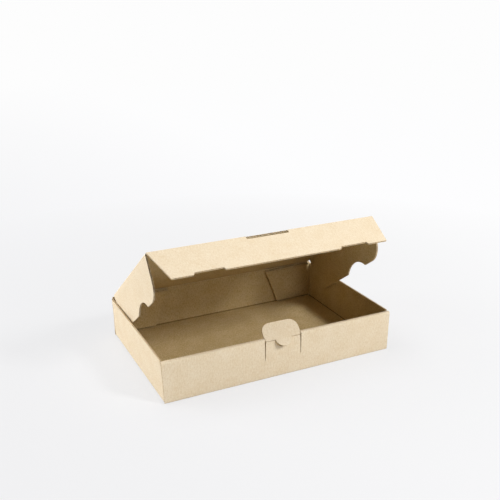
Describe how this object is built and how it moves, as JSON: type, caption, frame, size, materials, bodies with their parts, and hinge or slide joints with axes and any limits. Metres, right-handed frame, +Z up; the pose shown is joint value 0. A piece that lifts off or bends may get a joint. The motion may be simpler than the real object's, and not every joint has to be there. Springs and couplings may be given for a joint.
{
  "type": "large letter mailer box",
  "caption": "Shallow die-cut corrugated letter carton: a tray with a rolled-over front wall, and a hinged tuck lid with side ears, a slotted front lip and a locking tongue.",
  "frame": {"origin": "Middle of the underside of the tray, on the surface it stands on.", "axes": "+X along the width to the right as seen from the front, -Y to the front wall with the tongue, +Z up."},
  "size_m": [0.241, 0.1657, 0.1328],
  "materials": {
    "kraft_board": "matte"
  },
  "bodies": {
    "tray": {"tray": "kraft_board"},
    "rear_flap_left": {"rear_flap_left": "kraft_board"},
    "rear_flap_right": {"rear_flap_right": "kraft_board"},
    "lid": {"lid": "kraft_board"},
    "lip": {"lip": "kraft_board"},
    "ear_left": {"ear_left": "kraft_board"},
    "ear_right": {"ear_right": "kraft_board"},
    "tongue": {"tongue": "kraft_board"}
  },
  "joints": [
    {"name": "lid_hinge", "type": "hinge", "parent": "tray", "child": "lid", "pos_m": [0, 0.07925, 0.04425], "axis": [-1, 0, 0], "range_deg": [-31.5, 145]},
    {"name": "lip_fold", "type": "hinge", "parent": "lid", "child": "lip", "pos_m": [0, -0.04608, 0.13201], "axis": [-1, 0, 0], "range_deg": [-44, 53]},
    {"name": "ear_left_fold", "type": "hinge", "parent": "lid", "child": "ear_left", "pos_m": [-0.11686, 0.07873, 0.04351], "axis": [0, -0.8192, 0.5736], "range_deg": [0, 80]},
    {"name": "ear_right_fold", "type": "hinge", "parent": "lid", "child": "ear_right", "pos_m": [0.11686, 0.07873, 0.04351], "axis": [0, 0.8192, -0.5736], "range_deg": [0, 80]},
    {"name": "tongue_fold", "type": "hinge", "parent": "tray", "child": "tongue", "pos_m": [0, -0.07925, 0.0395], "axis": [-1, 0, 0], "range_deg": [-45, 30]},
    {"name": "rear_flap_left_fold", "type": "hinge", "parent": "tray", "child": "rear_flap_left", "pos_m": [-0.11735, 0.07665, 0], "axis": [0.0349, 0, -0.9994], "range_deg": [-2, 60]},
    {"name": "rear_flap_right_fold", "type": "hinge", "parent": "tray", "child": "rear_flap_right", "pos_m": [0.11735, 0.07665, 0], "axis": [0.0349, 0, 0.9994], "range_deg": [-2, 60]}
  ]
}
